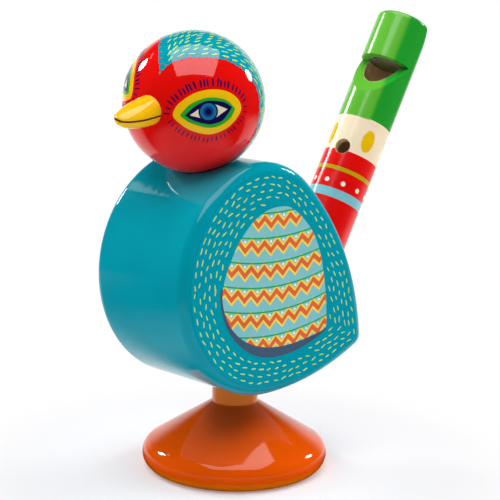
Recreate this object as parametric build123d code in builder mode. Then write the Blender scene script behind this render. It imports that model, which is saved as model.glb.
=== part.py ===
"""Bird call: a lacquered wooden bird on a turned foot, with a two-note whistle for its tail.

Millimetres. The origin is the centre of the foot's underside and +Z is up.
The bird faces -Y and its left wing is on +X.
"""
import os
from math import asin, atan2, cos, hypot, radians, sin, sqrt, tan

from build123d import *

os.makedirs("parts", exist_ok=True)

# Fits
glue_gap = 0.05
turning_gap = 0.06
sliding_gap = 0.08
seat_gap = 0.2
cut_margin = 2.0

# Foot
foot_radius = 28.7
foot_height = 20.9
rim_round = 4.9
rim_height = 4.6
stem_radius = 7.1
stem_socket_depth = 12.0

# Body
body_thickness = 40.0
body_edge_round = 3.0
breast_radius = 35.7
breast_y = -3.6
breast_z = 63.2
nape_angle = 118.0
nape_radius = 27.5
back_angle = 48.0
back_radius = 78.0
tail_angle = 3.5
tail_round = 4.0

# Printed sides
print_thickness = 0.1

# Head
head_radius = 20.8
head_distance = 53.4
neck_tilt = 15.7
head_turn = 6.25
head_cock = 17.2
neck_peg_radius = 4.0
neck_peg_in_head = 14.0
neck_peg_in_body = 21.0
neck_bore_end_gap = 1.0

# Beak
beak_half_width = 4.62
beak_upper_height = 4.19
beak_lower_height = 4.12
beak_length = 12.6
beak_lift = 7.5
beak_rise = 2.05
beak_bluntness = 2.46
beak_ridge_share = 0.46
beak_tip_round = 0.5
beak_root = 3.0
beak_shares = (0.0, 0.35, 0.6, 0.8, 0.92, 0.97)
beak_tenon_radius = 2.5
beak_tenon_depth = 8.0

# Whistle
whistle_tilt = 29.35
whistle_y = 45.8
whistle_z = 84.9
whistle_radius = 8.9
whistle_bore_radius = 6.3
whistle_top = 58.7
whistle_bottom = -42.0
whistle_edge_round = 1.5
window_turn = 13.0
window_top = 42.4
window_floor = 1.25
window_ramp_end = 29.2
tone_hole_turn = 18.0
tone_hole_station = 9.6
tone_hole_radius = 2.5
lip_thickness = 9.0
lip_bevel_angle = 26.0
windway_height = 1.3
stopper_length = 8.0
stopper_inset = 0.5

# Foot profile, from the rim's rounding and the tangent cone above it
rim_centre = foot_radius - rim_round
base_radius = rim_centre + sqrt(rim_round**2 - rim_height**2)
cone_run = rim_centre - stem_radius
cone_rise = foot_height - rim_height
cone_angle = atan2(cone_rise, cone_run) - asin(rim_round / hypot(cone_run, cone_rise))
cone_start_radius = rim_centre + rim_round * sin(cone_angle)
cone_start_height = rim_height + rim_round * cos(cone_angle)
body_underside = breast_z - sqrt(breast_radius**2 - breast_y**2)
stem_top = body_underside + stem_socket_depth

# Body outline: breast, nape and back are arcs that run into each other
nape_y = breast_y + (breast_radius - nape_radius) * cos(radians(nape_angle))
nape_z = breast_z + (breast_radius - nape_radius) * sin(radians(nape_angle))
back_y = nape_y + (nape_radius - back_radius) * cos(radians(back_angle))
back_z = nape_z + (nape_radius - back_radius) * sin(radians(back_angle))
tail_y = back_y + back_radius * cos(radians(tail_angle))
tail_z = back_z + back_radius * sin(radians(tail_angle))
breast_sweep = 270 - nape_angle

# Neck and head planes
neck_axis = (0, -sin(radians(neck_tilt)), cos(radians(neck_tilt)))
neck_plane = Plane(origin=(0, breast_y, breast_z), x_dir=(1, 0, 0), z_dir=neck_axis)
neck_peg_bottom = breast_radius - neck_peg_in_body
neck_peg_top = head_distance - head_radius + neck_peg_in_head
turned_plane = neck_plane.offset(head_distance).moved(Rotation(0, 0, head_turn))
head_plane = turned_plane.moved(Rotation(0, head_cock, 0))
beak_plane = head_plane.moved(Rotation(90 - beak_lift, 0, 0))
beak_axis = Axis(beak_plane.origin, beak_plane.z_dir)

# Beak sections, each a share of the way from the ball to the tip
beak_start = sqrt(head_radius**2 - beak_half_width**2)
beak_run = head_radius + beak_length - beak_start
beak_stations = [beak_start + beak_run * share for share in beak_shares]
beak_fullness = [sqrt(1 - share**beak_bluntness) for share in beak_shares]
beak_ridge = [
    beak_ridge_share * (1 - share) + (1 - beak_ridge_share) * full
    for share, full in zip(beak_shares, beak_fullness)
]
beak_tenon_start = head_radius - beak_tenon_depth

# Whistle planes: x towards the bird's head, z up the tube
whistle_axis = (0, sin(radians(whistle_tilt)), cos(radians(whistle_tilt)))
whistle_front = (0, -cos(radians(whistle_tilt)), sin(radians(whistle_tilt)))
whistle_plane = Plane(origin=(0, whistle_y, whistle_z), x_dir=whistle_front, z_dir=whistle_axis)
window_plane = whistle_plane.moved(Rotation(0, 0, window_turn))
window_section = Plane(
    origin=window_plane.origin, x_dir=window_plane.z_dir, z_dir=window_plane.y_dir
)
tone_plane = whistle_plane.moved(Rotation(0, 0, tone_hole_turn)).offset(tone_hole_station)
tone_hole_plane = Plane(origin=tone_plane.origin, x_dir=tone_plane.z_dir, z_dir=tone_plane.x_dir)
whistle_length = whistle_top - whistle_bottom
ramp_slope = (whistle_radius - window_floor) / (window_top - window_ramp_end)
ramp_out = window_ramp_end - cut_margin / ramp_slope
bevel_slope = tan(radians(lip_bevel_angle))
bevel_reach = whistle_radius + cut_margin
bevel_floor = lip_thickness - whistle_radius
bevel_start = whistle_top - (bevel_reach - bevel_floor) / bevel_slope
bevel_crest = bevel_floor - cut_margin * bevel_slope
block_radius = whistle_bore_radius - glue_gap
block_flat = whistle_bore_radius - windway_height

# Turned foot with its stem
with BuildPart() as foot:
    with BuildSketch(Plane.XZ):
        with BuildLine():
            Line((0, 0), (base_radius, 0))
            ThreePointArc(
                (base_radius, 0),
                (foot_radius, rim_height),
                (cone_start_radius, cone_start_height),
            )
            Polyline(
                (cone_start_radius, cone_start_height),
                (stem_radius, foot_height),
                (stem_radius, stem_top),
                (0, stem_top),
                (0, 0),
            )
        make_face()
    revolve(axis=Axis.Z)
foot.part.label = "foot"
export_step(foot.part, "parts/foot.step")

# Side outline of the body
with BuildSketch(Plane.YZ) as body_outline:
    with BuildLine():
        CenterArc((back_y, back_z), back_radius, tail_angle, back_angle - tail_angle)
        CenterArc((nape_y, nape_z), nape_radius, back_angle, nape_angle - back_angle)
        CenterArc((breast_y, breast_z), breast_radius, nape_angle, breast_sweep)
        TangentArc((breast_y, breast_z - breast_radius), (tail_y, tail_z), tangent=(1, 0))
    make_face()
    fillet(body_outline.vertices().sort_by(Axis.X)[-1], radius=tail_round)

# Body, cut from thick board
with BuildPart() as body_block:
    extrude(body_outline.sketch, amount=body_thickness / 2, both=True)
    fillet(body_block.faces().filter_by(Axis.X).edges(), radius=body_edge_round)
    with BuildSketch(Plane.XY.offset(stem_top)):
        Circle(stem_radius + glue_gap)
    extrude(amount=-stem_top, mode=Mode.SUBTRACT)
    with BuildSketch(neck_plane.offset(neck_peg_bottom - neck_bore_end_gap)):
        Circle(neck_peg_radius + turning_gap)
    extrude(amount=neck_peg_in_body + cut_margin, mode=Mode.SUBTRACT)
    with BuildSketch(whistle_plane.offset(whistle_bottom - seat_gap)):
        Circle(whistle_radius + sliding_gap)
    extrude(amount=whistle_length, mode=Mode.SUBTRACT)
    with Locations(head_plane):
        Sphere(head_radius + seat_gap, mode=Mode.SUBTRACT)
body_block.part.label = "body_block"
export_step(body_block.part, "parts/body_block.step")

# Printed sheet over the flat of the left side
with BuildPart() as side_print_left:
    extrude(body_block.faces().sort_by(Axis.X)[-1], amount=print_thickness)
side_print_left.part.label = "side_print_left"
export_step(side_print_left.part, "parts/side_print_left.step")

# Printed sheet over the flat of the right side
with BuildPart() as side_print_right:
    extrude(body_block.faces().sort_by(Axis.X)[0], amount=print_thickness)
side_print_right.part.label = "side_print_right"
export_step(side_print_right.part, "parts/side_print_right.step")

# Dowel that the head turns on
with BuildPart() as neck_peg:
    with BuildSketch(neck_plane.offset(neck_peg_bottom)):
        Circle(neck_peg_radius)
    extrude(amount=neck_peg_top - neck_peg_bottom)
neck_peg.part.label = "neck_peg"
export_step(neck_peg.part, "parts/neck_peg.step")

# Ball head
with BuildPart(head_plane) as head_ball:
    Sphere(head_radius)
    with BuildSketch(neck_plane.offset(neck_peg_bottom)):
        Circle(neck_peg_radius + glue_gap)
    extrude(amount=neck_peg_top - neck_peg_bottom, mode=Mode.SUBTRACT)
    with BuildSketch(beak_plane.offset(beak_tenon_start)):
        with Locations((0, beak_rise)):
            Circle(beak_tenon_radius + glue_gap)
    extrude(amount=head_radius, mode=Mode.SUBTRACT)
head_ball.part.label = "head_ball"
export_step(head_ball.part, "parts/head_ball.step")

# Beak, hollowed behind to sit on the ball, with a tenon
with BuildPart(head_plane) as beak:
    with BuildSketch(beak_plane.offset(beak_start - beak_root)):
        with BuildLine():
            EllipticalCenterArc((0, beak_rise), beak_half_width, beak_upper_height, arc_size=180)
            EllipticalCenterArc((0, beak_rise), beak_half_width, beak_lower_height, arc_size=-180)
        make_face()
    for station, full, ridge in zip(beak_stations, beak_fullness, beak_ridge):
        with BuildSketch(beak_plane.offset(station)):
            with BuildLine():
                EllipticalCenterArc(
                    (0, beak_rise), beak_half_width * full, beak_upper_height * ridge, arc_size=180
                )
                EllipticalCenterArc(
                    (0, beak_rise), beak_half_width * full, beak_lower_height * full, arc_size=-180
                )
            make_face()
    loft()
    fillet(beak.faces().sort_by(beak_axis)[-1].edges(), radius=beak_tip_round)
    Sphere(head_radius + glue_gap, mode=Mode.SUBTRACT)
    with BuildSketch(beak_plane.offset(beak_tenon_start)):
        with Locations((0, beak_rise)):
            Circle(beak_tenon_radius)
    extrude(amount=beak_tenon_depth + beak_root)
beak.part.label = "beak"
export_step(beak.part, "parts/beak.step")

# Whistle tube with its window, tone hole and bevelled lip
with BuildPart() as whistle_tube:
    with BuildSketch(whistle_plane.offset(whistle_bottom)):
        Circle(whistle_radius)
    extrude(amount=whistle_length)
    fillet(whistle_tube.edges().group_by(Axis.Z)[-1], radius=whistle_edge_round)
    with BuildSketch(whistle_plane.offset(whistle_bottom)):
        Circle(whistle_bore_radius)
    extrude(amount=whistle_length, mode=Mode.SUBTRACT)
    with BuildSketch(window_section):
        Polygon(
            (window_top, window_floor),
            (window_top, whistle_radius + cut_margin),
            (ramp_out, whistle_radius + cut_margin),
            align=None,
        )
    extrude(amount=whistle_radius, both=True, mode=Mode.SUBTRACT)
    with BuildSketch(window_section):
        Polygon(
            (whistle_top + cut_margin, -bevel_crest),
            (whistle_top + cut_margin, -bevel_reach),
            (bevel_start, -bevel_reach),
            align=None,
        )
    extrude(amount=whistle_radius, both=True, mode=Mode.SUBTRACT)
    with BuildSketch(tone_hole_plane):
        Circle(tone_hole_radius)
    extrude(amount=whistle_radius, mode=Mode.SUBTRACT)
whistle_tube.part.label = "whistle_tube"
export_step(whistle_tube.part, "parts/whistle_tube.step")

# Block that leaves a flat windway above itself
with BuildPart() as fipple_block:
    with BuildSketch(window_plane.offset(window_top)):
        Circle(block_radius)
        with Locations((block_flat + block_radius, 0)):
            Rectangle(2 * block_radius, 2 * block_radius, mode=Mode.SUBTRACT)
    extrude(amount=whistle_top - window_top)
    with BuildSketch(window_section):
        Polygon(
            (whistle_top + cut_margin, -bevel_crest),
            (whistle_top + cut_margin, -bevel_reach),
            (bevel_start, -bevel_reach),
            align=None,
        )
    extrude(amount=whistle_radius, both=True, mode=Mode.SUBTRACT)
fipple_block.part.label = "fipple_block"
export_step(fipple_block.part, "parts/fipple_block.step")

# Stopper in the whistle's foot
with BuildPart() as whistle_stopper:
    with BuildSketch(whistle_plane.offset(whistle_bottom + stopper_inset)):
        Circle(block_radius)
    extrude(amount=stopper_length)
whistle_stopper.part.label = "whistle_stopper"
export_step(whistle_stopper.part, "parts/whistle_stopper.step")
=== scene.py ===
"""Looks of the bird call: gloss lacquer, printed marks, floor, light and camera, in the CAD frame."""
import math
import random

import bmesh
import bpy
from mathutils import Matrix, Vector


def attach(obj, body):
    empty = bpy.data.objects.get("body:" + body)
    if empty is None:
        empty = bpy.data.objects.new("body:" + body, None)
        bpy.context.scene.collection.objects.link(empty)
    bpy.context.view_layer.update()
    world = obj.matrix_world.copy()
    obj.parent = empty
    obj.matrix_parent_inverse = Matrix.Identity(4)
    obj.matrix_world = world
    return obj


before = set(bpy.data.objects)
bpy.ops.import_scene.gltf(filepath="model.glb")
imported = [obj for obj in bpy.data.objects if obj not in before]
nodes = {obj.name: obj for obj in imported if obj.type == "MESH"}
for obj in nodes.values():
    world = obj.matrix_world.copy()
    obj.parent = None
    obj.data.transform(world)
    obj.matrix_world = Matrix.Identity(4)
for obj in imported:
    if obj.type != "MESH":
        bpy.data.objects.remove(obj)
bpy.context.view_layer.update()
rng = random.Random(11)

MM = 0.001

# Sizes that the part's source gives, in millimetres and degrees
BREAST = Vector((0.0, -3.6, 63.2))
NECK_TILT = 15.7
HEAD_DISTANCE = 53.4
HEAD_TURN = 6.25
HEAD_COCK = 17.2
HEAD_RADIUS = 20.8
BEAK_LIFT = 7.5
BEAK_RISE = 2.05
SIDE_X = 20.1
WHISTLE_AT = Vector((0.0, 45.8, 84.9))
WHISTLE_TILT = 29.35
WHISTLE_RADIUS = 8.9
WHISTLE_END = -42.0
BORE_RADIUS = 6.3
SOCKET_RADIUS = 8.98
WINDOW_TOP = 42.4
TONE_STATION = 9.6
TONE_TURN = 18.0
TONE_RADIUS = 2.5


def turn(degrees, axis):
    return Matrix.Rotation(math.radians(degrees), 4, axis)


neck = Matrix.Translation(BREAST) @ turn(NECK_TILT, "X")
head = neck @ Matrix.Translation((0, 0, HEAD_DISTANCE)) @ turn(HEAD_TURN, "Z") @ turn(HEAD_COCK, "Y")
beak = head @ turn(90 - BEAK_LIFT, "X")
whistle = Matrix.Translation(WHISTLE_AT) @ turn(-WHISTLE_TILT, "X") @ turn(-90, "Z")


# Node graphs

def linear(rgb):
    """A colour as seen on screen, 0 to 255, as scene-linear light."""
    parts = [c / 255 for c in rgb]
    return tuple(c / 12.92 if c <= 0.04045 else ((c + 0.055) / 1.055) ** 2.4 for c in parts) + (1.0,)


def add(tree, kind, values=(), **settings):
    """A shader node whose inputs, by number or name, are links or plain values."""
    node = tree.nodes.new("ShaderNode" + kind)
    for key, value in settings.items():
        setattr(node, key, value)
    for key, value in dict(values).items():
        if isinstance(value, bpy.types.NodeSocket):
            tree.links.new(value, node.inputs[key])
        else:
            node.inputs[key].default_value = value
    return node


def maths(tree, operation, *values):
    return add(tree, "Math", enumerate(values), operation=operation).outputs[0]


def vectors(tree, operation, *values):
    node = add(tree, "VectorMath", enumerate(values), operation=operation)
    return node.outputs["Value" if operation in ("DOT_PRODUCT", "LENGTH") else "Vector"]


def mixed(tree, factor, one, two):
    """A blend of two colours."""
    return add(tree, "Mix", {0: factor, 6: one, 7: two}, data_type="RGBA").outputs[2]


def mixed_number(tree, factor, one, two):
    return add(tree, "Mix", {0: factor, 2: one, 3: two}).outputs[0]


def span(tree, value, start, end, low=0.0, high=1.0, kind="LINEAR"):
    """A value that runs from low to high while another goes from start to end."""
    values = {0: value, 1: start, 2: end, 3: low, 4: high}
    return add(tree, "MapRange", values, interpolation_type=kind).outputs[0]


def fade(tree, value, start, end, low=0.0, high=1.0):
    return span(tree, value, start, end, low, high, "SMOOTHSTEP")


def ramp(tree, factor, stops, interpolation="LINEAR"):
    node = add(tree, "ValToRGB", {0: factor})
    node.color_ramp.interpolation = interpolation
    while len(node.color_ramp.elements) < len(stops):
        node.color_ramp.elements.new(1.0)
    for element, (position, colour) in zip(node.color_ramp.elements, stops):
        element.position = position
        element.color = colour
    return node.outputs[0]


def new_material(name):
    material = bpy.data.materials.new(name)
    material.use_nodes = True
    return material, material.node_tree, material.node_tree.nodes["Principled BSDF"]


def new_object(name, data):
    made = bpy.data.objects.new(name, data)
    bpy.context.scene.collection.objects.link(made)
    return made


def object_point(tree):
    return add(tree, "TexCoord").outputs["Object"]


# Noise keeps mostly to this middle part of 0 to 1
NOISE_RANGE = (0.3, 0.7)


def noise(tree, point, stretch, detail=2.0, rough=0.5):
    """Noise with features of about 1 / stretch metres along each axis."""
    scaled = vectors(tree, "MULTIPLY", point, Vector(stretch))
    values = {"Vector": scaled, "Scale": 1.0, "Detail": detail, "Roughness": rough}
    return add(tree, "TexNoise", values).outputs["Fac"]


def noise_colour(tree, fibres, dark, light):
    return ramp(tree, fibres, list(zip(NOISE_RANGE, (dark, light))))


# Lacquer: clouds and specks per metre, how far they change tone and roughness, and the gloss on it
CLOUDS = (55, 55, 55)
SPECKS = (900, 900, 900)
PAINT_TONE = 0.05
PRINT_TONE = 0.03
PAINT_ROUGHNESS = (0.42, 0.5)
COAT_ROUGHNESS = 0.06
TUBE_COAT_ROUGHNESS = 0.17
PAINT_GLOSS = 1.5
FOOT_GLOSS = 1.42
BODY_GLOSS = 1.38

# Ripples under the gloss: features per metre along each axis, and depth in metres
EVEN_RIPPLE = ((260, 260, 260), 0.000004)
TURNED_RIPPLE = ((4, 4, 1300), 0.00002)
GRAIN_RIPPLE = ((420, 45, 45), 0.000022)


def finish_lacquer(
    tree, bsdf, colour, point,
    ripple=EVEN_RIPPLE, tone=PAINT_TONE, gloss=PAINT_GLOSS, coat_roughness=COAT_ROUGHNESS,
):
    """Paint with a slightly uneven tone under a hard clear gloss that follows faint ripples in the wood."""
    shade = span(tree, noise(tree, point, CLOUDS, detail=3.0), *NOISE_RANGE, 1 - tone, 1 + tone)
    uneven = add(tree, "VectorMath", {0: colour, "Scale": shade}, operation="SCALE")
    tree.links.new(uneven.outputs["Vector"], bsdf.inputs["Base Color"])
    roughness = span(tree, noise(tree, point, SPECKS, detail=1.0), *NOISE_RANGE, *PAINT_ROUGHNESS)
    tree.links.new(roughness, bsdf.inputs["Roughness"])
    bsdf.inputs["Specular IOR Level"].default_value = 0.0
    bsdf.inputs["Coat Weight"].default_value = 1.0
    bsdf.inputs["Coat Roughness"].default_value = coat_roughness
    bsdf.inputs["Coat IOR"].default_value = gloss
    stretch, depth = ripple
    height = noise(tree, point, stretch)
    bump = add(tree, "Bump", {"Strength": 1.0, "Distance": depth, "Height": height})
    tree.links.new(bump.outputs[0], bsdf.inputs["Coat Normal"])
    tree.links.new(bump.outputs[0], bsdf.inputs["Normal"])


def lacquer(name, rgb, **finish):
    """Lacquer of one colour."""
    material, tree, bsdf = new_material(name)
    finish_lacquer(tree, bsdf, Vector(linear(rgb)[:3]), object_point(tree), **finish)
    return material


# Colours of paint and wood, as seen on screen
TEAL = (0, 150, 168)
ORANGE, ORANGE_LOW_EDGE, ORANGE_STEM = (226, 82, 0), (214, 108, 6), (232, 122, 20)
TUBE_RED = (236, 12, 8)
# The lighter green is painted light on the brighter half of the mouthpiece
GREEN, GREEN_PAINTED_LIT = (32, 158, 44), (96, 184, 52)
CREAM = (252, 230, 196)
OLIVE = (190, 168, 8)
PALE_BLUE = (132, 196, 206)
WOOD_DARK, WOOD_LIGHT = (156, 112, 78), (206, 160, 118)
# Wood in the bore, the tone hole and the socket is paler than the outer wood: painted light against the
# shade inside them
BORE_PAINTED_LIGHT_DARK, BORE_PAINTED_LIGHT_PALE = (222, 184, 142), (252, 226, 188)
BLOCK_DARK, BLOCK_LIGHT = (92, 104, 70), (128, 142, 104)

# Lacquers and inks of one colour, with the names of their materials
INKS = {
    "red": ("red_lacquer", (222, 12, 8)),
    "cap": ("cap_lacquer", TEAL),
    "beak": ("beak_lacquer", (246, 188, 12)),
    "ink_yellow": ("yellow_ink", (190, 224, 114)),
    "navy": ("navy_ink", (16, 12, 78)),
    "eye_yellow": ("eye_yellow_ink", (240, 190, 12)),
    "eye_green": ("eye_green_ink", (44, 164, 44)),
    "eye_white": ("eye_white_ink", (232, 220, 190)),
    "eye_blue": ("eye_blue_ink", (24, 112, 160)),
    "eye_deep": ("eye_deep_ink", (18, 62, 124)),
    "panel_blue": ("panel_blue_ink", (130, 196, 202)),
    "panel_red": ("panel_red_ink", (224, 104, 66)),
    "panel_yellow": ("panel_yellow_ink", (246, 214, 78)),
    "panel_green": ("panel_green_ink", (44, 170, 84)),
    "crescent": ("crescent_ink", (68, 90, 116)),
    "white": ("white_ink", (250, 244, 226)),
    "mouth": ("mouth_ink", (60, 44, 14)),
}
paint = {key: lacquer(name, rgb) for key, (name, rgb) in INKS.items()}
paint["print"] = lacquer("print_lacquer", TEAL, tone=PRINT_TONE, gloss=BODY_GLOSS)

# Coats on the foot, by height in millimetres above the floor
FOOT_COATS = [
    (0.0, ORANGE_LOW_EDGE), (2.2, ORANGE_LOW_EDGE), (3.4, ORANGE),
    (20.4, ORANGE), (21.4, ORANGE_STEM), (40.0, ORANGE_STEM),
]


def foot_paint():
    """Orange lacquer over fine turning rings, yellower on the stem and along the lower edge."""
    material, tree, bsdf = new_material("orange_lacquer")
    point = object_point(tree)
    top = FOOT_COATS[-1][0]
    height = add(tree, "SeparateXYZ", {0: point}).outputs[2]
    stops = [(z / top, linear(rgb)) for z, rgb in FOOT_COATS]
    colour = ramp(tree, maths(tree, "DIVIDE", height, top * MM), stops)
    finish_lacquer(tree, bsdf, colour, point, TURNED_RIPPLE, gloss=FOOT_GLOSS)
    return material


# Bare wood: fibres per metre along each axis, roughness and the depth of the fibres in metres
FIBRES = (900, 260, 260)
WOOD_ROUGHNESS = (0.7, 0.55)
FIBRE_DEPTH = 0.00005
FIBRE_STRENGTH = 0.5


def fibre_noise(tree, point):
    return noise(tree, point, FIBRES, detail=4.0, rough=0.6)


def fibre_colour(tree, fibres, dark_rgb, light_rgb):
    return noise_colour(tree, fibres, linear(dark_rgb), linear(light_rgb))


def finish_wood(tree, bsdf, colour, fibres):
    tree.links.new(colour, bsdf.inputs["Base Color"])
    tree.links.new(span(tree, fibres, *NOISE_RANGE, *WOOD_ROUGHNESS), bsdf.inputs["Roughness"])
    values = {"Strength": FIBRE_STRENGTH, "Distance": FIBRE_DEPTH, "Height": fibres}
    tree.links.new(add(tree, "Bump", values).outputs[0], bsdf.inputs["Normal"])


def bare_wood():
    material, tree, bsdf = new_material("bare_wood")
    fibres = fibre_noise(tree, object_point(tree))
    finish_wood(tree, bsdf, fibre_colour(tree, fibres, WOOD_DARK, WOOD_LIGHT), fibres)
    return material


# Whistle paint, in millimetres: where each band starts along the tube, and margins of bare wood round holes
MOUTHPIECE = 20.5
BANDS = [
    (-50.0, TUBE_RED), (-7.55, PALE_BLUE), (-4.6, TUBE_RED), (1.4, OLIVE), (2.7, TUBE_RED), (8.2, CREAM),
    (MOUTHPIECE, GREEN),
]
BANDS_TOP = 60.0
# Painted light: one half of the mouthpiece is a lighter green, split at this turn round the tube and
# blended over this width in millimetres
PAINTED_LIT_TURN = math.radians(-38)
PAINTED_LIT_BLEND = 0.9
SOCKET_MARGIN = 0.05
SOCKET_END_MARGIN = 1.0
BORE_MARGIN = 0.06
STAIN_NONE, STAIN_FULL = WINDOW_TOP + 1.2, WINDOW_TOP + 0.2


def whistle_measures(tree, point):
    """Way from the whistle's datum to a point, and how far that is along and out from its axis."""
    axis = whistle.to_3x3() @ Vector((0, 0, 1))
    from_base = vectors(tree, "SUBTRACT", point, WHISTLE_AT * MM)
    station = vectors(tree, "DOT_PRODUCT", from_base, axis)
    return from_base, station, vectors(tree, "LENGTH", vectors(tree, "CROSS_PRODUCT", from_base, axis))


# Bare wood painted pale, as painted light against the shade inside bores and the socket
def bore_wood_painted_light(tree, point):
    return fibre_colour(tree, fibre_noise(tree, point), BORE_PAINTED_LIGHT_DARK, BORE_PAINTED_LIGHT_PALE)


def body_paint():
    """Teal lacquer over faint ripples along the grain, with bare wood in the whistle's socket, painted pale
    against the shade in it.
    """
    material, tree, bsdf = new_material("teal_lacquer")
    point = object_point(tree)
    _, station, out = whistle_measures(tree, point)
    in_bore = maths(tree, "LESS_THAN", out, (SOCKET_RADIUS + SOCKET_MARGIN) * MM)
    in_depth = maths(tree, "GREATER_THAN", station, (WHISTLE_END - SOCKET_END_MARGIN) * MM)
    bare = maths(tree, "MULTIPLY", in_bore, in_depth)
    colour = mixed(tree, bare, linear(TEAL), bore_wood_painted_light(tree, point))
    finish_lacquer(tree, bsdf, colour, point, GRAIN_RIPPLE, gloss=BODY_GLOSS)
    return material


def band_paint(tree, from_base, station):
    """Bands up the tube, and painted light on one half of the mouthpiece: a lighter green where that side
    is brighter.
    """
    low = BANDS[0][0]
    stops = [((start - low) / (BANDS_TOP - low), linear(rgb)) for start, rgb in BANDS]
    bands = ramp(tree, span(tree, station, low * MM, BANDS_TOP * MM), stops, "CONSTANT")
    painted_lit_way = whistle.to_3x3() @ Vector((math.cos(PAINTED_LIT_TURN), math.sin(PAINTED_LIT_TURN), 0))
    facing = vectors(tree, "DOT_PRODUCT", from_base, painted_lit_way)
    painted_lit = fade(tree, facing, -PAINTED_LIT_BLEND * MM, PAINTED_LIT_BLEND * MM)
    on_mouthpiece = maths(tree, "GREATER_THAN", station, MOUTHPIECE * MM)
    return mixed(tree, maths(tree, "MULTIPLY", painted_lit, on_mouthpiece), bands, linear(GREEN_PAINTED_LIT))


def in_tone_hole(tree, point):
    """1 in the tone hole, 0 elsewhere."""
    tone = whistle @ turn(TONE_TURN, "Z")
    axis = tone.to_3x3() @ Vector((1, 0, 0))
    from_tone = vectors(tree, "SUBTRACT", point, tone @ Vector((0, 0, TONE_STATION)) * MM)
    off_axis = vectors(tree, "LENGTH", vectors(tree, "CROSS_PRODUCT", from_tone, axis))
    near = maths(tree, "LESS_THAN", off_axis, (TONE_RADIUS + BORE_MARGIN) * MM)
    ahead = maths(tree, "GREATER_THAN", vectors(tree, "DOT_PRODUCT", from_tone, axis), 0.0)
    return maths(tree, "MULTIPLY", near, ahead)


def whistle_paint():
    """Bands of lacquer up the tube with painted light on one half of the mouthpiece, and bare wood in the
    bore and the tone hole, painted pale against the shade in them.
    """
    material, tree, bsdf = new_material("whistle_lacquer")
    point = object_point(tree)
    from_base, station, out = whistle_measures(tree, point)
    in_bore = maths(tree, "LESS_THAN", out, (BORE_RADIUS + BORE_MARGIN) * MM)
    bare = maths(tree, "MAXIMUM", in_bore, in_tone_hole(tree, point))
    colour = mixed(tree, bare, band_paint(tree, from_base, station), bore_wood_painted_light(tree, point))
    finish_lacquer(tree, bsdf, colour, point, coat_roughness=TUBE_COAT_ROUGHNESS)
    return material


def block_wood():
    """Bare wood, stained grey-green at the end that shows in the window."""
    material, tree, bsdf = new_material("block_wood")
    point = object_point(tree)
    fibres = fibre_noise(tree, point)
    _, station, _ = whistle_measures(tree, point)
    stain = span(tree, station, STAIN_NONE * MM, STAIN_FULL * MM)
    plain = fibre_colour(tree, fibres, WOOD_DARK, WOOD_LIGHT)
    stained = fibre_colour(tree, fibres, BLOCK_DARK, BLOCK_LIGHT)
    finish_wood(tree, bsdf, mixed(tree, stain, plain, stained), fibres)
    return material


hidden_wood = bare_wood()
COATS = {
    "foot": foot_paint(),
    "body_block": body_paint(),
    "side_print_left": paint["print"],
    "side_print_right": paint["print"],
    "head_ball": paint["red"],
    "beak": paint["beak"],
    "whistle_tube": whistle_paint(),
    "fipple_block": block_wood(),
    "whistle_stopper": hidden_wood,
    "neck_peg": hidden_wood,
}
for node_name, coat in COATS.items():
    nodes[node_name].data.materials.clear()
    nodes[node_name].data.materials.append(coat)


# Layers of ink, in millimetres: each is a closed film, raised over a surface from a flat sheet of faces
INK = 0.03
SINK = 0.02
PROBE = 0.01
CUT_SNAP = 1e-6


def level(number):
    """Lowest and highest reach of layer 0, 1 and so on, each sunk a little into the one below."""
    return INK * number - SINK, INK * (number + 1)


def sheet(outlines, cell=0.0):
    """Flat sheet of faces with these outlines, cut into cells where the surface is curved."""
    flat = bmesh.new()
    for outline in outlines:
        area = sum(a[0] * b[1] - b[0] * a[1] for a, b in zip(outline, outline[1:] + outline[:1]))
        ring = outline if area > 0 else outline[::-1]
        flat.faces.new([flat.verts.new((u, v, 0)) for u, v in ring])
    if cell:
        slice_sheet(flat, cell)
    return flat


def slice_sheet(flat, cell):
    for axis, normal in enumerate(((1, 0, 0), (0, 1, 0))):
        reach = [v.co[axis] for v in flat.verts]
        for step in range(math.ceil(min(reach) / cell), math.floor(max(reach) / cell) + 1):
            cut(flat, flat.faces[:], tuple(step * cell * n for n in normal), normal)


def cut(flat, faces, point, normal):
    """Cuts the given faces along a plane, and keeps both sides."""
    edges = list(dict.fromkeys(e for f in faces for e in f.edges))
    verts = list(dict.fromkeys(v for f in faces for v in f.verts))
    bmesh.ops.bisect_plane(flat, geom=verts + edges + faces, dist=CUT_SNAP, plane_co=point, plane_no=normal)


def face_up(flat):
    """Turns all faces of a flat sheet to the same side, up."""
    bmesh.ops.recalc_face_normals(flat, faces=flat.faces)
    if sum(f.normal.z for f in flat.faces) < 0:
        bmesh.ops.reverse_faces(flat, faces=flat.faces)


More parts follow.
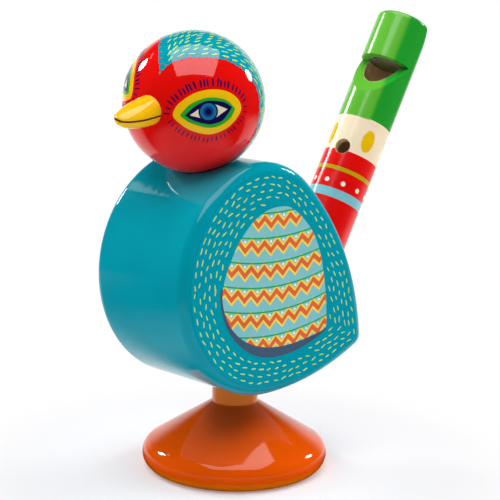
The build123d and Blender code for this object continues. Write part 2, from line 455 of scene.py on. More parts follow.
def film(flat, place, low, high):
    """A closed film from a flat sheet, which is used up: points, faces, corner normals and ink numbers.
    place(u, v, w) puts a point of the sheet at height w over the surface."""
    bmesh.ops.triangulate(flat, faces=[f for f in flat.faces if len(f.verts) > 4])
    flat.verts.index_update()
    count = len(flat.verts)
    flats = [(v.co.x, v.co.y) for v in flat.verts]
    up = [(place(u, v, 1) - place(u, v, 0)).normalized() for u, v in flats]
    points = [place(u, v, w) * MM for w in (high, low) for u, v in flats]
    u, v = flats[0]
    origin = place(u, v, 0)
    keep = (place(u + PROBE, v, 0) - origin).cross(place(u, v + PROBE, 0) - origin).dot(up[0]) > 0
    faces, normals, kinds = [], [], []
    for f in flat.faces:
        corners = [v.index for v in f.verts]
        ring = corners if keep else corners[::-1]
        back = [i + count for i in reversed(ring)]
        faces += [ring, back]
        normals += [up[i] for i in ring] + [-up[i - count] for i in back]
        kinds += [f.material_index] * 2
    for e in flat.edges:
        if len(e.link_faces) == 1:
            loop = e.link_loops[0]
            ends = (loop.vert.index, loop.link_loop_next.vert.index)
            a, b = ends if keep else ends[::-1]
            wall = [b, a, a + count, b + count]
            across = points[wall[1]] - points[wall[0]]
            facing = across.cross(points[wall[2]] - points[wall[1]]).normalized()
            faces.append(wall)
            normals += [facing] * 4
            kinds.append(e.link_faces[0].material_index)
    flat.free()
    return points, faces, normals, kinds


def add_piece(name, films, body, inks):
    """One piece made of one or more films."""
    points, faces, normals, kinds = [], [], [], []
    for film_points, film_faces, film_normals, film_kinds in films:
        start = len(points)
        points += film_points
        faces += [[start + i for i in face] for face in film_faces]
        normals += film_normals
        kinds += film_kinds
    mesh = bpy.data.meshes.new(name)
    mesh.from_pydata(points, [], faces)
    mesh.polygons.foreach_set("use_smooth", [True] * len(faces))
    mesh.polygons.foreach_set("material_index", kinds)
    for ink in inks:
        mesh.materials.append(paint[ink])
    mesh.normals_split_custom_set(normals)
    piece = new_object(name, mesh)
    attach(piece, body)


# Lines and outlines

def smooth_line(points, closed, steps=6):
    """A Catmull-Rom line through the points."""
    count = len(points)
    made = []
    for i in range(count if closed else count - 1):
        four = [(i + k) % count if closed else min(max(i + k, 0), count - 1) for k in (-1, 0, 1, 2)]
        a, b, c, d = [Vector(points[k]) for k in four]
        for step in range(steps):
            t = step / steps
            bend = (2 * a - 5 * b + 4 * c - d) * t * t
            twist = (3 * b - a - 3 * c + d) * t ** 3
            made.append(0.5 * (2 * b + (c - a) * t + bend + twist))
    if not closed:
        made.append(Vector(points[-1]))
    return made


def running_lengths(line):
    """Distance along a line at each of its points."""
    lengths = [0.0]
    for a, b in zip(line, line[1:]):
        lengths.append(lengths[-1] + (Vector(b) - Vector(a)).length)
    return lengths


def at_length(line, lengths, where):
    """Point and unit direction of a line at a distance along it."""
    i = max(k for k, length in enumerate(lengths[:-1]) if length <= where)
    a, b = Vector(line[i]), Vector(line[i + 1])
    step = (b - a).length
    return a + (b - a) * ((where - lengths[i]) / step), (b - a) / step


def pairs(line):
    return [(p[0], p[1]) for p in line]


def disc(u, v, radius_u, radius_v, corners=40):
    angles = [2 * math.pi * i / corners for i in range(corners)]
    return [(u + radius_u * math.cos(a), v + radius_v * math.sin(a)) for a in angles]


# Half of a brush dash, as shares of its length and width
DASH = [(-0.5, 0.1), (-0.36, 0.42), (0, 0.5), (0.36, 0.42), (0.5, 0.1)]


def stroke(middle, along, length, width):
    """A brush dash: pointed a little at both ends."""
    side = Vector((-along[1], along[0]))
    along = Vector(along)
    middle = Vector(middle)
    upper = [middle + along * (length * a) + side * (width * b) for a, b in DASH]
    lower = [middle + along * (length * a) - side * (width * b) for a, b in reversed(DASH)]
    return pairs(upper + lower)


# Head

def ball_direction(azimuth, elevation):
    """Unit vector on the head: x left, y back, z up; azimuth from the beak towards the bird's left."""
    a, e = math.radians(azimuth), math.radians(elevation)
    return Vector((math.cos(e) * math.sin(a), -math.cos(e) * math.cos(a), math.sin(e)))


def on_ball(middle, across, mirror=1.0):
    """Flat millimetres about a point of the ball, laid on it true in distance from that point."""
    upward = middle.cross(across)
    flip = Vector((mirror, 1.0, 1.0))

    def place(u, v, w):
        reach = math.hypot(u, v)
        angle = reach / HEAD_RADIUS
        direction = middle * math.cos(angle)
        if reach > 1e-9:
            direction = direction + (across * u + upward * v) * (math.sin(angle) / reach)
        return head @ (direction * flip * (HEAD_RADIUS + w))

    return place


# Eyes, in millimetres across and up from the middle of an eye
EYE_AZIMUTH, EYE_ELEVATION = 52.0, 19.0
EYE_RIM = [
    (-10.1, -0.3), (-9.35, 1.6), (-7.5, 3.4), (-4.6, 5.2), (-1.6, 6.1), (2.3, 6.3), (6.3, 5.3), (9.2, 3.1),
    (10.3, 0.5), (9.3, -1.8), (6.25, -4.6), (2.8, -6.05), (-0.5, -6.4), (-5.2, -5.0), (-8.3, -2.85),
    (-9.7, -1.5),
]
EYE_SHADE_TOP = [
    (-8.1, -0.6), (-7.05, 0.75), (-5.25, 2.4), (-2.6, 3.6), (0.8, 4.15), (5.1, 3.2), (7.2, 1.5), (8.1, 0.3),
]
EYE_SHADE_LOW = [
    (8.1, 0.3), (6.5, -2.2), (3.3, -4.0), (-0.3, -4.4), (-4.9, -2.9), (-7.1, -1.5), (-8.1, -0.6),
]
EYE_LINE_TOP = [(-6.7, -0.6), (-4.15, 1.65), (-1.8, 2.85), (0.6, 3.25), (4.7, 2.5), (7.1, 0.85)]
EYE_LINE_LOW = [(7.1, 0.85), (4.3, -2.35), (2.1, -3.2), (-0.3, -3.35), (-4.0, -2.25), (-6.7, -0.6)]
IRIS = (-0.1, 0.22)
IRIS_RADIUS = 2.35
IRIS_INNER_RADIUS = 1.5
PUPIL_RADIUS = 0.85
EYE_CELL = 0.9

# Whites of an eye: the corner, and the arc beside the iris from one angle to another
WHITE_RADIUS = 2.8
WHITE_STEPS = 8
WHITES = [((-5.3, -0.55), 216, 161), ((5.55, 0.5), 45, -39)]

# Lashes: gap to the rim, length and width with what is added at the top, and how much they differ
LASHES = 46
LASH_SEED = 5
LASH_GAP = 0.85
LASH_LENGTH, LASH_LENGTH_TOP = 1.75, 0.7
LASH_WIDTH, LASH_WIDTH_TOP = 0.34, 0.2
LASH_JITTER = {"place": 0.13, "turn": 0.12, "length": 0.35, "width": 0.06}


def almond(top, low):
    """Outline with two sharp corners, from its upper and lower edge."""
    return pairs(smooth_line(top, closed=False)[:-1] + smooth_line(low, closed=False)[:-1])


def white_outline(corner, start, end):
    turns = [math.radians(start + (end - start) * i / WHITE_STEPS) for i in range(WHITE_STEPS + 1)]
    arc = [(IRIS[0] + WHITE_RADIUS * math.cos(t), IRIS[1] + WHITE_RADIUS * math.sin(t)) for t in turns]
    return [corner] + arc


def lash_strokes():
    rim = pairs(smooth_line(EYE_RIM, closed=True, steps=10))
    rim.append(rim[0])
    lengths = running_lengths(rim)
    total = lengths[-1]
    draw = random.Random(LASH_SEED)

    def jitter(what):
        return draw.uniform(-LASH_JITTER[what], LASH_JITTER[what])

    made = []
    for i in range(LASHES):
        point, direction = at_length(rim, lengths, total * (i + jitter("place")) / LASHES % total)
        out = Vector((-direction.y, direction.x))
        rise = max(0.0, out.y)
        out.rotate(Matrix.Rotation(jitter("turn"), 2))
        length = LASH_LENGTH + LASH_LENGTH_TOP * rise + jitter("length")
        width = LASH_WIDTH + LASH_WIDTH_TOP * rise + jitter("width")
        made.append(stroke(point + out * (LASH_GAP + length / 2), out, length, width))
    return made


def eye(side, mirror):
    """One eye, layer on layer, with its lashes."""
    middle = ball_direction(EYE_AZIMUTH, EYE_ELEVATION)
    a = math.radians(EYE_AZIMUTH)
    place = on_ball(middle, Vector((math.cos(a), math.sin(a), 0.0)), mirror)
    layers = [
        ("eye_rim", [pairs(smooth_line(EYE_RIM, closed=True))], "eye_yellow", 0),
        ("eye_shade", [almond(EYE_SHADE_TOP, EYE_SHADE_LOW)], "eye_green", 1),
        ("eye_line", [almond(EYE_LINE_TOP, EYE_LINE_LOW)], "navy", 2),
        ("eye_white", [white_outline(*white) for white in WHITES], "eye_white", 3),
        ("iris", [disc(*IRIS, IRIS_RADIUS, IRIS_RADIUS)], "eye_blue", 3),
        ("iris_inner", [disc(*IRIS, IRIS_INNER_RADIUS, IRIS_INNER_RADIUS)], "eye_deep", 4),
        ("pupil", [disc(*IRIS, PUPIL_RADIUS, PUPIL_RADIUS)], "navy", 5),
        ("lashes", lash_strokes(), "navy", 0),
    ]
    for name, outlines, ink, number in layers:
        layer = film(sheet(outlines, EYE_CELL), place, *level(number))
        add_piece(f"{name}_{side}", [layer], "head", [ink])


eye("left", 1.0)
eye("right", -1.0)

# Cap: its edge in azimuth and elevation, from the peak on the forehead down the left and the right side
CAP_LEFT = [
    (0.4, 46), (1.6, 49), (5.5, 55), (11, 58), (20.3, 61.2), (33.2, 63.3), (51, 63.6), (69.5, 61.8),
    (83.7, 58.6), (92, 54.0), (98.5, 48.8), (103, 43.0), (105.5, 37.6), (107.5, 30.9), (108.5, 23.3),
    (108, 17), (105.5, 9.5), (102.5, -2.2), (100, -12), (94, -24), (88, -32), (81, -43), (74, -54),
    (60, -68), (30, -78),
]
CAP_RIGHT = [
    (-5.4, 47.3), (-14.2, 52), (-25.4, 56.4), (-36, 58.3), (-47.5, 59.3), (-60, 59.6), (-72, 58.6),
    (-83.4, 55.6), (-92, 50.4), (-98, 44), (-102, 37), (-104.5, 30), (-105.5, 23), (-105, 17),
    (-103.5, 9.5), (-101, -2.2), (-98.5, -12), (-93, -24), (-87, -32), (-81, -43), (-74, -54),
    (-60, -68), (-30, -78),
]
CAP_PEAK = (-1.2, 42.6)
CAP_MIDDLE = (180.0, 12.0)
CAP_EDGE_STEPS = 8
CAP_RINGS = 26
NAPE_STEPS = 10
cap_middle = ball_direction(*CAP_MIDDLE)
cap_across = Vector((-1.0, 0.0, 0.0))


def cap_flat(direction):
    """Flat place about the cap's middle of a direction on the ball."""
    angle = cap_middle.angle(direction)
    away = (direction - cap_middle * direction.dot(cap_middle)).normalized()
    reach = HEAD_RADIUS * angle
    return Vector((away.dot(cap_across) * reach, away.dot(cap_middle.cross(cap_across)) * reach))


def edge_of_cap(spots):
    line = smooth_line([ball_direction(*spot) for spot in [CAP_PEAK] + spots], False, CAP_EDGE_STEPS)
    return [d.normalized() for d in line]


left_edge = edge_of_cap(CAP_LEFT)
right_edge = edge_of_cap(CAP_RIGHT)


def cap_sheet():
    """Rings of faces from the cap's middle out to its edge."""
    nape = [left_edge[-1].lerp(right_edge[-1], i / NAPE_STEPS).normalized() for i in range(1, NAPE_STEPS)]
    rim = [cap_flat(d) for d in left_edge + nape + right_edge[:0:-1]]
    flat = bmesh.new()
    hub = flat.verts.new((0, 0, 0))
    rings = []
    for k in range(1, CAP_RINGS + 1):
        rings.append([flat.verts.new((p.x * k / CAP_RINGS, p.y * k / CAP_RINGS, 0)) for p in rim])
    for i in range(len(rim)):
        j = (i + 1) % len(rim)
        flat.faces.new([hub, rings[0][i], rings[0][j]])
        for inner, outer in zip(rings, rings[1:]):
            flat.faces.new([inner[i], outer[i], outer[j], inner[j]])
    face_up(flat)
    return flat


cap_film = film(cap_sheet(), on_ball(cap_middle, cap_across), *level(0))
add_piece("cap", [cap_film], "head", ["cap"])

# Rows of dashes: where even and odd rows start, how gaps differ and the widest jump along a row, in gaps
STAGGER = (0.8, 0.3)
GAP_RANGE = (0.85, 1.15)
WIDEST_JUMP = 3
LEAST_STEP = 1e-6
ROW_SLACK = 0.05

# Dashes on the cap, in millimetres and radians, but the last row by height on a ball of radius 1
CAP_ROWS = 20
CAP_ROW_STEP = 1.75
CAP_FIRST_LEFT, CAP_FIRST_RIGHT = 1.5, 3.4
CAP_GAP = 3.1
CAP_CROWDED = 1.5
CAP_OVERLAP = 0.5
CAP_FAR_CLEAR = 3.0
CAP_LAST_ROW = -0.88
CAP_DASH_TURN = 0.25
CAP_DASH_LENGTH = (1.8, 2.5)
CAP_DASH_WIDTH = (0.4, 0.54)

# Ticks across the cap's edge, in the same measures
TICK = [(-0.35, -0.22), (1.3, -0.04), (1.3, 0.04), (-0.35, 0.22)]
TICK_GAP = 2.3
TICK_START = 1.0
TICK_JITTER = 0.3
TICK_LOWEST = -0.5


def spread(spots, least):
    """Drops spots that crowd an earlier one."""
    kept = []
    for spot in spots:
        if all((spot[0] - other[0]).length > least for other in kept):
            kept.append(spot)
    return kept


def rows_beside(edge, inward, depths, gap, offset, allowed):
    """Places for dashes in staggered rows beside an edge: (place, direction along the row)."""
    spots = []
    for row, depth in enumerate(depths):
        moved = [offset(point, side, depth) for point, side in zip(edge, inward)]
        line = [p if allowed(p, depth) else None for p in moved]
        walked = gap * STAGGER[row % 2]
        for a, b in zip(line, line[1:]):
            if a is None or b is None:
                continue
            step = (b - a).length
            if not LEAST_STEP < step < WIDEST_JUMP * gap:
                continue
            walked += step
            if walked >= gap:
                walked -= gap * rng.uniform(*GAP_RANGE)
                spots.append(((a + b) / 2, (b - a) / step))
    return spots


def inward_on_ball(edge):
    """Directions along the ball from an edge of the cap to its inside."""
    made = []
    for i, point in enumerate(edge):
        tangent = (edge[min(i + 1, len(edge) - 1)] - edge[max(i - 1, 0)]).normalized()
        normal = point.cross(tangent).normalized()
        made.append(normal if normal.dot(cap_middle) > 0 else -normal)
    return made


def nearest(point, edge):
    return max(range(len(edge)), key=lambda i: point.dot(edge[i]))


def cap_half(own, other, first):
    """Dashes along one edge of the cap that swing towards front to back where the halves meet."""
    def offset(point, side, depth):
        return point * math.cos(depth / HEAD_RADIUS) + side * math.sin(depth / HEAD_RADIUS)

    def reach(point, edge):
        return HEAD_RADIUS * point.angle(edge[nearest(point, edge)])

    def allowed(point, depth):
        mine, far = reach(point, own), reach(point, other)
        return mine > depth - ROW_SLACK and far > mine - CAP_OVERLAP and far > CAP_FAR_CLEAR

    depths = [first + CAP_ROW_STEP * row for row in range(CAP_ROWS)]
    spots = rows_beside(own, inward_on_ball(own), depths, CAP_GAP / HEAD_RADIUS, offset, allowed)
    made = []
    for point, along in spots:
        mine, far = reach(point, own), reach(point, other)
        k = min(max(nearest(point, other), 1), len(other) - 2)
        beyond = (other[k + 1] - other[k - 1]).normalized()
        share = mine / (mine + far)
        made.append((point.normalized(), along * (1 - share) + beyond * share))
    return made


def level_on(point, direction):
    """Direction turned level with the ball at a point."""
    return (direction - point * direction.dot(point)).normalized()


def cap_dashes():
    """Place on the ball and outline of each dash."""
    spots = cap_half(left_edge, right_edge, CAP_FIRST_LEFT)
    spots += cap_half(right_edge, left_edge, CAP_FIRST_RIGHT)
    dashes = []
    for point, along in spread(spots, CAP_CROWDED / HEAD_RADIUS):
        if point.z < CAP_LAST_ROW:
            continue
        across = Matrix.Rotation(rng.uniform(-CAP_DASH_TURN, CAP_DASH_TURN), 3, point) @ along
        length = rng.uniform(*CAP_DASH_LENGTH)
        width = rng.uniform(*CAP_DASH_WIDTH)
        dashes.append((on_ball(point, level_on(point, across)), stroke((0, 0), (1, 0), length, width)))
    return dashes


def cap_ticks():
    """Place on the ball and outline of each tick."""
    ticks = []
    for edge in (left_edge, right_edge):
        walked = TICK_START
        for point, after, side in zip(edge, edge[1:], inward_on_ball(edge)):
            walked += (after - point).length * HEAD_RADIUS
            if walked > TICK_GAP and point.z > TICK_LOWEST:
                walked = rng.uniform(-TICK_JITTER, TICK_JITTER)
                ticks.append((on_ball(point, level_on(point, side)), TICK))
    return ticks


cap_layers = [
    ("cap_dashes", cap_dashes(), level(1), "ink_yellow"),
    ("cap_ticks", cap_ticks(), (level(0)[0], level(1)[1]), "red"),
]
for name, marks, reaches, ink in cap_layers:
    films = [film(sheet([outline]), place, *reaches) for place, outline in marks]
    add_piece(name, films, "head", [ink])


# Body sides: outlines in y and z, in millimetres
PANEL = [
    (1.0, 84.4), (-4.6, 84.4), (-9.2, 83.0), (-13.2, 80.5), (-17.0, 76.8), (-19.7, 73.0), (-21.8, 69.2),
    (-23.4, 65.3), (-24.2, 61.7), (-24.2, 59.3), (-23.6, 56.5), (-22.1, 53.1), (-19.8, 49.8), (-16.4, 46.8),
    (-12.4, 44.6), (-7.8, 43.1), (-3.1, 42.3), (2.8, 42.1), (8.8, 42.6), (13.7, 43.4), (17.6, 44.2),
    (19.1, 45.2), (19.3, 47.4), (19.1, 50.2), (18.8, 54.6), (18.1, 59.1), (17.0, 64.5), (15.6, 69.3),
    (13.8, 73.1), (11.2, 77.0), (7.8, 80.4), (4.4, 83.0),
]
CRESCENT_EDGE = [
    (-24.9, 63.0), (-25.1, 59.6), (-24.2, 55.3), (-22.6, 51.5), (-20.3, 48.0), (-16.9, 44.7), (-12.9, 41.9),
    (-8.9, 40.2), (-4.6, 39.3), (0.2, 39.1), (5.9, 39.7), (11.9, 41.2), (16.2, 42.7), (19.5, 44.3),
]
CRESCENT_BACK = [(19.5, 60.0), (-24.0, 63.0)]
EDGE_STEPS = 4

# Dashes on the sides, in millimetres and radians
SIDE_STEP = 0.4
SIDE_ROWS = 13
SIDE_FIRST_ROW = 1.3
SIDE_ROW_STEP = 1.95
SIDE_GAP = 3.4
SIDE_CROWDED = 1.5
SIDE_CLEAR = 1.5
SIDE_JITTER = 0.22
SIDE_DASH_TURN = 0.3
SIDE_DASH_LENGTH = (1.5, 2.2)
SIDE_DASH_WIDTH = (0.34, 0.46)


def outline_of(node):
    """Convex outline in y and z, in millimetres, of a flat node."""
    points = sorted({(round(v.co.y / MM, 4), round(v.co.z / MM, 4)) for v in nodes[node].data.vertices})

    def chain(run):
        kept = []
        for p in run:
            while len(kept) > 1:
                (ay, az), (by, bz) = kept[-2], kept[-1]
                if (by - ay) * (p[1] - az) - (bz - az) * (p[0] - ay) > 0:
                    break
                kept.pop()
            kept.append(p)
        return kept[:-1]

    return chain(points) + chain(points[::-1])


def resample(line, step):
    """Points of a closed line at even steps."""
    ring = line + line[:1]
    lengths = running_lengths(ring)
    count = int(lengths[-1] / step)
    return [at_length(ring, lengths, lengths[-1] * i / count)[0] for i in range(count)]


def inside(point, outline):
    crossings = False
    for (ay, az), (by, bz) in zip(outline, outline[1:] + outline[:1]):
        if (az > point[1]) != (bz > point[1]) and point[0] < (by - ay) * (point[1] - az) / (bz - az) + ay:
            crossings = not crossings
    return crossings


def gap_to(point, line):
    return min((Vector(p) - Vector(point)).length for p in line)


side_edge = resample(outline_of("side_print_left"), SIDE_STEP)
panel_line = pairs(smooth_line(PANEL, True, EDGE_STEPS))
crescent_line = pairs(smooth_line(CRESCENT_EDGE, False, EDGE_STEPS))


def side_dashes():
    """Outlines of dashes in rows along a side's edge, clear of the panel and the crescent."""
    count = len(side_edge)
    edge = side_edge + side_edge[:2]
    inward = []
    for i in range(len(edge)):
        tangent = (side_edge[(i + 1) % count] - side_edge[(i - 1) % count]).normalized()
        inward.append(Vector((-tangent.y, tangent.x)))
    filled = crescent_line + CRESCENT_BACK

    def offset(point, side, depth):
        return point + side * depth

    def allowed(point, depth):
        return min((point - e).length for e in side_edge) > depth - ROW_SLACK

    made = []
    depths = [SIDE_FIRST_ROW + SIDE_ROW_STEP * row for row in range(SIDE_ROWS)]
    for point, along in spread(rows_beside(edge, inward, depths, SIDE_GAP, offset, allowed), SIDE_CROWDED):
        moved = [rng.uniform(-SIDE_JITTER, SIDE_JITTER) for _ in range(2)]
        point = point + Vector(moved)
        near = min(gap_to(point, panel_line), gap_to(point, crescent_line))
        if near > SIDE_CLEAR and not inside(point, panel_line) and not inside(point, filled):
            swing = Matrix.Rotation(rng.uniform(-SIDE_DASH_TURN, SIDE_DASH_TURN), 2)
            length = rng.uniform(*SIDE_DASH_LENGTH)
            width = rng.uniform(*SIDE_DASH_WIDTH)
            made.append(stroke(point, swing @ along, length, width))
    return made


def on_side(side):
    """Flat millimetres, y and z, laid on the left side (1) or the right side (-1)."""
    def place(u, v, w):
        return Vector((side * (SIDE_X + w), u, v))

    return place


# Wing panel: level zigzag bands with dots between green lines, by height over the start of a band
PANEL_INKS = ["panel_blue", "panel_red", "panel_yellow", "panel_green"]
BAND_STEP = 7.4
BAND_BASE = 40.4
BAND_BOW = 0.006
BOW_MIDDLE = -2.0
ZIG_HALF = 2.6
ZIG_RISE = 2.5
ZIG_LEVELS = (0.0, 0.9, 2.7, 3.6)
LINE_LEVELS = (5.35, 5.85)
DOT_LEVEL = 4.55
DOT_RADIUS = 0.42
DOT_CLEAR = 0.8
DOT_CORNERS = 14
BAND_COUNTS = range(-1, 8)
COLUMNS = range(-10, 9)
DOT_COLUMNS = range(-11, 10)
NUDGE = 1e-6


def bow(u):
    return BAND_BOW * (u - BOW_MIDDLE) ** 2


def zigzag(u):
    phase = (u / ZIG_HALF) % 2.0
    return ZIG_RISE * (phase if phase < 1 else 2 - phase)


def band_ink(u, v):
    height = v - BAND_BASE
    straight = height % BAND_STEP
    bent = (height - zigzag(u)) % BAND_STEP
    if LINE_LEVELS[0] < straight < LINE_LEVELS[1]:
        return "panel_green"
    if ZIG_LEVELS[1] < bent < ZIG_LEVELS[2]:
        return "panel_red"
    if ZIG_LEVELS[0] < bent < ZIG_LEVELS[3]:
        return "panel_yellow"
    return "panel_blue"


def cut_bands(flat, column):
    """Cuts one column of the panel along the edges of its bands and lines."""
    left, right = column * ZIG_HALF, (column + 1) * ZIG_HALF
    start = zigzag(left + NUDGE)
    slope = (zigzag(right - NUDGE) - start) / ZIG_HALF
    edges = [(height + start, slope) for height in ZIG_LEVELS] + [(height, 0.0) for height in LINE_LEVELS]
    for band in BAND_COUNTS:
        for height, rise in edges:
            strip = [f for f in flat.faces if left < f.calc_center_median().x < right]
            if strip:
                low = BAND_BASE + band * BAND_STEP + height
                cut(flat, strip, (left, low, 0), (-rise, 1, 0))


def panel_sheet():
    """The panel as a flat sheet, cut into its inks while level and then bowed."""
    flat = bmesh.new()
    flat.faces.new([flat.verts.new((u, v - bow(u), 0)) for u, v in panel_line])
    for column in COLUMNS:
        cut(flat, flat.faces[:], (column * ZIG_HALF, 0, 0), (1, 0, 0))
    for column in COLUMNS:
        cut_bands(flat, column)
    for f in flat.faces:
        middle = f.calc_center_median()
        f.material_index = PANEL_INKS.index(band_ink(middle.x, middle.y))
    face_up(flat)
    for v in flat.verts:
        v.co.y += bow(v.co.x)
    return flat


def panel_dots():
    made = []
    for band in BAND_COUNTS:
        for column in DOT_COLUMNS:
            u = (2 * column) * ZIG_HALF
            spot = (u, BAND_BASE + band * BAND_STEP + DOT_LEVEL + bow(u))
            if inside(spot, panel_line) and gap_to(spot, panel_line) > DOT_CLEAR:
                made.append(disc(*spot, DOT_RADIUS, DOT_RADIUS, DOT_CORNERS))
    return made


def crescent_outline():
    """The crescent's outer edge and, back along it, the panel's own edge."""
    def beside(end):
        return min(range(len(panel_line)), key=lambda i: (Vector(panel_line[i]) - Vector(end)).length)

    first, last = beside(crescent_line[0]), beside(crescent_line[-1])
    return crescent_line + panel_line[first:last + 1][::-1]


dash_outlines = side_dashes()
for side_name, side in (("left", 1), ("right", -1)):
    side_layers = [
        ("side_dashes", sheet(dash_outlines), 0, ["ink_yellow"]),
        ("wing_panel", panel_sheet(), 0, PANEL_INKS),
        ("panel_dots", sheet(panel_dots()), 1, ["white"]),
        ("wing_crescent", sheet([crescent_outline()]), 0, ["crescent"]),
    ]
    for name, flat, number, inks in side_layers:
        layer = film(flat, on_side(side), *level(number))
        add_piece(f"{name}_{side_name}", [layer], "stand", inks)


# Whistle marks
TUBE_CELL = 0.6


def on_tube(u, v, w):
    """u round the tube, v along it, w out."""
    angle = u / WHISTLE_RADIUS
    out = WHISTLE_RADIUS + w
    return whistle @ Vector((out * math.cos(angle), out * math.sin(angle), v))


def tube_marks(count, first, station, radii, corners):
    """Outlines of ovals evenly round the tube, the first at an angle in degrees."""
    turns = [math.radians(first + 360 / count * i) for i in range(count)]
    return [disc(t * WHISTLE_RADIUS, station, *radii, corners) for t in turns]


tube_dots = tube_marks(count=10, first=13, station=-2.2, radii=(0.78, 0.78), corners=28)
tube_ovals = tube_marks(count=4, first=65.6, station=13.8, radii=(2.1, 3.7), corners=44)
tube_layers = [("whistle_dots", tube_dots, "white"), ("whistle_ovals", tube_ovals, "eye_yellow")]
for name, outlines, ink in tube_layers:
    layer = film(sheet(outlines, TUBE_CELL), on_tube, *level(0))
    add_piece(name, [layer], "whistle", [ink])


# Mouth line on the beak's seam, in millimetres
MOUTH_HALF = 0.24
MOUTH_STEPS = 72
MOUTH_REACH = (-0.08, 0.05)
SEAM_SNAP = 1e-5
SEAM_CLEAR = 0.1
SEAM_LEAST = 0.02
SEAM_LOOK = 0.15


def beak_seam():
    """Outline of the beak, across and forward in millimetres, in the plane where its halves meet."""
    solid = bmesh.new()
    solid.from_mesh(nodes["beak"].data)
    solid.transform(beak.inverted() @ Matrix.Scale(1 / MM, 4))
    found = bmesh.ops.bisect_plane(
        solid, geom=solid.verts[:] + solid.edges[:] + solid.faces[:], dist=SEAM_SNAP,
        plane_co=(0, BEAK_RISE, 0), plane_no=(0, 1, 0),
    )
    ring = [Vector((v.co.x, v.co.z)) for v in found["geom_cut"] if isinstance(v, bmesh.types.BMVert)]
    solid.free()
    clear = math.sqrt((HEAD_RADIUS + SEAM_CLEAR) ** 2 - BEAK_RISE ** 2)
    at_ball = [p for p in ring if p.length <= clear]
    out = sorted((p for p in ring if p.length > clear), key=lambda p: math.atan2(p.y - HEAD_RADIUS, p.x))
    line = [max(at_ball, key=lambda p: p.x)]
    for p in out + [min(at_ball, key=lambda p: p.x)]:
        if (p - line[-1]).length > SEAM_LEAST:
            line.append(p)
    return line


seam = beak_seam()
seam_lengths = running_lengths(seam)


def seam_at(where):
    return at_length(seam, seam_lengths, min(max(where, 0.0), seam_lengths[-1]))[0]


def on_mouth(u, v, w):
    """u along the seam from the left corner round the tip to the right one, v up, w out."""
    ahead = (seam_at(u + SEAM_LOOK) - seam_at(u - SEAM_LOOK)).normalized()
    spot = seam_at(u) + Vector((ahead.y, -ahead.x)) * w
    return beak @ Vector((spot.x, BEAK_RISE + v, spot.y))


def mouth_sheet():
    flat = bmesh.new()
    along = [seam_lengths[-1] * i / MOUTH_STEPS for i in range(MOUTH_STEPS + 1)]
    low = [flat.verts.new((u, -MOUTH_HALF, 0)) for u in along]
    high = [flat.verts.new((u, MOUTH_HALF, 0)) for u in along]
    for i in range(MOUTH_STEPS):
        flat.faces.new([low[i], low[i + 1], high[i + 1], high[i]])
    return flat


add_piece("mouth_line", [film(mouth_sheet(), on_mouth, *MOUTH_REACH)], "head", ["mouth"])

# Camera: its place in metres, its axes and its lens in millimetres
CAMERA_AT = Vector((331.194, -310.921, 156.978)) * MM
CAMERA_RIGHT = Vector((0.688677, 0.724914, 0.014963))
CAMERA_UP = Vector((-0.148879, 0.121180, 0.981402))
CAMERA_BACK = Vector((0.709619, -0.678097, 0.191378))
CAMERA_LENS = 109.01
CAMERA_SENSOR = 36.0
CAMERA_CLIP = (0.01, 20.0)


def make_camera():
    data = bpy.data.cameras.new("camera")
    data.lens = CAMERA_LENS
    data.sensor_width = CAMERA_SENSOR
    data.clip_start, data.clip_end = CAMERA_CLIP
    camera = new_object("camera", data)
    axes = Matrix((CAMERA_RIGHT, CAMERA_UP, CAMERA_BACK)).transposed()
    camera.matrix_world = Matrix.Translation(CAMERA_AT) @ axes.to_4x4()
    bpy.context.scene.camera = camera


# Lamps: direction in degrees, distance and size in metres
AIM = Vector((0.0, 0.0, 0.07))
FLASH = {"reach": 1.0, "size": (0.2, 0.2), "shape": "DISK"}
FILL = {"reach": 1.6, "size": (1.4, 1.4), "seen": False}


def lamp(name, azimuth, elevation, radiance, reach, size, shape="RECTANGLE", seen=True):
    """A soft lamp towards the object, size across and up. Radiance 1 is as bright as lit white paper."""
    a, e = math.radians(azimuth), math.radians(elevation)
    way = Vector((math.sin(a) * math.cos(e), -math.cos(a) * math.cos(e), math.sin(e)))
    across, up = size
    data = bpy.data.lights.new(name, "AREA")
    data.shape = shape
    data.size, data.size_y = across, up
    area = across * up * (math.pi / 4 if shape == "DISK" else 1)
    data.energy = radiance * math.pi * area
    light = new_object(name, data)
    light.location = AIM + way * reach
    light.rotation_mode = "QUATERNION"
    light.rotation_quaternion = way.to_track_quat("Z", "Y")
    light.visible_glossy = seen


def make_lamps():
    lamp("top_box", azimuth=50, elevation=78, radiance=3.45, reach=0.85, size=(0.9, 0.9))
    lamp("left_flash", azimuth=-77, elevation=29.5, radiance=25.0, **FLASH)
    lamp("left_glow", azimuth=-80, elevation=39, radiance=1.7, reach=1.0, size=(0.15, 0.04))
    lamp("right_flash", azimuth=167, elevation=24, radiance=21.0, **FLASH)
    lamp("left_fill", azimuth=-58, elevation=22, radiance=1.95, **FILL)
    lamp("right_fill", azimuth=155, elevation=22, radiance=2.1, **FILL)
    lamp("front_fill", azimuth=46, elevation=25, radiance=0.06, **FILL)


# Studio and floor: brightness as light on the object, in its gloss (MIRROR) and to the camera (LIFT)
ROOM_LIGHT = 0.1
ROOM_MIRROR = 0.02
TABLE_LIGHT = 0.26
TABLE_MIRROR = 0.4
TABLE_LIFT = 0.225
TABLE_LIFT_FAR = 0.045
TABLE_PATCH = Vector((0.06, -0.08, 0.0))
BACKDROP = Vector((CAMERA_BACK.x, CAMERA_BACK.y, 0)).normalized() * -1
PAPER_DARK, PAPER_LIGHT = (0.655, 0.655, 0.68, 1), (0.665, 0.665, 0.69, 1)
PAPER_FIBRES = (300, 300, 300)
FLOOR_RADIUS = 1.5
FLOOR_SIDES = 96

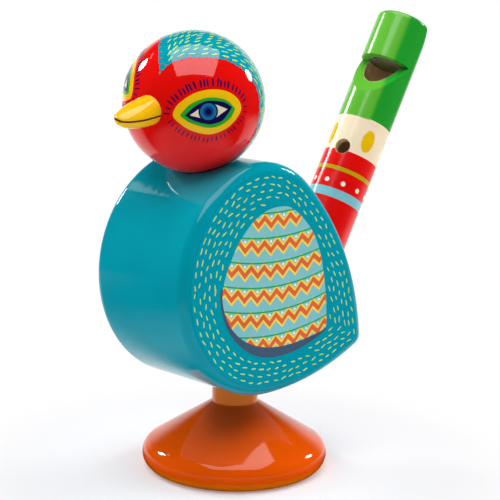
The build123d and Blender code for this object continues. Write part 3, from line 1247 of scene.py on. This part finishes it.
# Where they blend: by the cosine to the backdrop, by height, and by distance on the floor in metres
BACKDROP_FADE = (0.62, 0.92)
HORIZON_FADE = (0.2, 0.5)
LIFT_FADE = (0.035, 0.085)
WHITE_FADE = (0.045, 0.1)
PATCH_FADE = (0.1, 0.17)
FOOT_FADE = (0.03, 0.06)
BEHIND_FADE = (0.005, 0.035)
BEHIND_TURN_FADE = (-0.15, 0.35)
DISTANT_FADE = (0.2, 0.6)


def light_paths(tree):
    """What the camera sees directly, and what it sees in gloss or through glass."""
    path = add(tree, "LightPath").outputs
    return path["Is Camera Ray"], maths(tree, "MAXIMUM", path["Is Glossy Ray"], path["Is Transmission Ray"])


def emission(tree, strength):
    return add(tree, "Emission", {"Strength": strength}).outputs[0]


def make_world():
    """White backdrop behind the object, a dim studio in front of it."""
    world = bpy.data.worlds.new("studio")
    world.use_nodes = True
    tree = world.node_tree
    background = tree.nodes["Background"]
    by_camera, by_gloss = light_paths(tree)
    direction = add(tree, "TexCoord").outputs["Generated"]
    toward = fade(tree, vectors(tree, "DOT_PRODUCT", direction, BACKDROP), *BACKDROP_FADE)
    height = add(tree, "SeparateXYZ", {0: direction}).outputs[2]
    low = fade(tree, height, *HORIZON_FADE, 1.0, 0.0)
    paper = maths(tree, "MAXIMUM", maths(tree, "MULTIPLY", toward, low), ROOM_MIRROR)
    unseen = mixed_number(tree, by_gloss, ROOM_LIGHT, paper)
    background.inputs["Color"].default_value = (1, 1, 1, 1)
    tree.links.new(maths(tree, "MAXIMUM", unseen, by_camera), background.inputs["Strength"])
    bpy.context.scene.world = world


def lit_floor(tree, point, reach, by_camera):
    """Paper that keeps the shadow close to the object and turns white further out. To the camera it glows,
    brightest near the foot: painted light that softens the shadow there.
    """
    fibres = noise(tree, point, PAPER_FIBRES, detail=3.0)
    tint = noise_colour(tree, fibres, PAPER_DARK, PAPER_LIGHT)
    paper = add(tree, "BsdfDiffuse", {"Color": tint}).outputs[0]
    # Painted light: a glow to the camera, brightest near the foot, softens the object's shadow
    lift = fade(tree, reach, *LIFT_FADE, TABLE_LIFT, TABLE_LIFT_FAR)
    glow = emission(tree, mixed_number(tree, by_camera, TABLE_LIGHT, lift))
    near = add(tree, "AddShader", {0: paper, 1: glow}).outputs[0]
    edge = maths(tree, "MULTIPLY", fade(tree, reach, *WHITE_FADE), by_camera)
    return add(tree, "MixShader", {0: edge, 1: near, 2: emission(tree, 1.0)}).outputs[0]


def mirrored_floor(tree, point, reach):
    """The floor in the gloss: a grey patch before the object, white behind it, and the studio far off."""
    off = vectors(tree, "LENGTH", vectors(tree, "SUBTRACT", point, TABLE_PATCH))
    past = vectors(tree, "DOT_PRODUCT", point, BACKDROP)
    side = maths(tree, "DIVIDE", past, maths(tree, "MAXIMUM", reach, MM))
    patch = fade(tree, off, *PATCH_FADE, TABLE_MIRROR, ROOM_MIRROR)
    front = maths(tree, "MULTIPLY", patch, fade(tree, reach, *FOOT_FADE))
    back_turn = fade(tree, side, *BEHIND_TURN_FADE)
    behind = maths(tree, "MULTIPLY", fade(tree, past, *BEHIND_FADE), back_turn)
    around = mixed_number(tree, behind, front, 1.0)
    distant = fade(tree, side, *BACKDROP_FADE, ROOM_MIRROR, 1.0)
    return emission(tree, mixed_number(tree, fade(tree, reach, *DISTANT_FADE), around, distant))


def make_floor():
    material, tree, unused = new_material("floor_paper")
    tree.nodes.remove(unused)
    point = object_point(tree)
    reach = vectors(tree, "LENGTH", point)
    by_camera, by_gloss = light_paths(tree)
    lit = lit_floor(tree, point, reach, by_camera)
    mirrored = mirrored_floor(tree, point, reach)
    surface = add(tree, "MixShader", {0: by_gloss, 1: lit, 2: mirrored}).outputs[0]
    tree.links.new(surface, tree.nodes["Material Output"].inputs["Surface"])
    disk = bmesh.new()
    bmesh.ops.create_circle(disk, cap_ends=True, segments=FLOOR_SIDES, radius=FLOOR_RADIUS)
    mesh = bpy.data.meshes.new("floor")
    disk.to_mesh(mesh)
    disk.free()
    mesh.materials.append(material)
    floor = new_object("floor", mesh)


make_camera()
make_lamps()
make_world()
make_floor()
bpy.context.scene.view_settings.view_transform = "Standard"
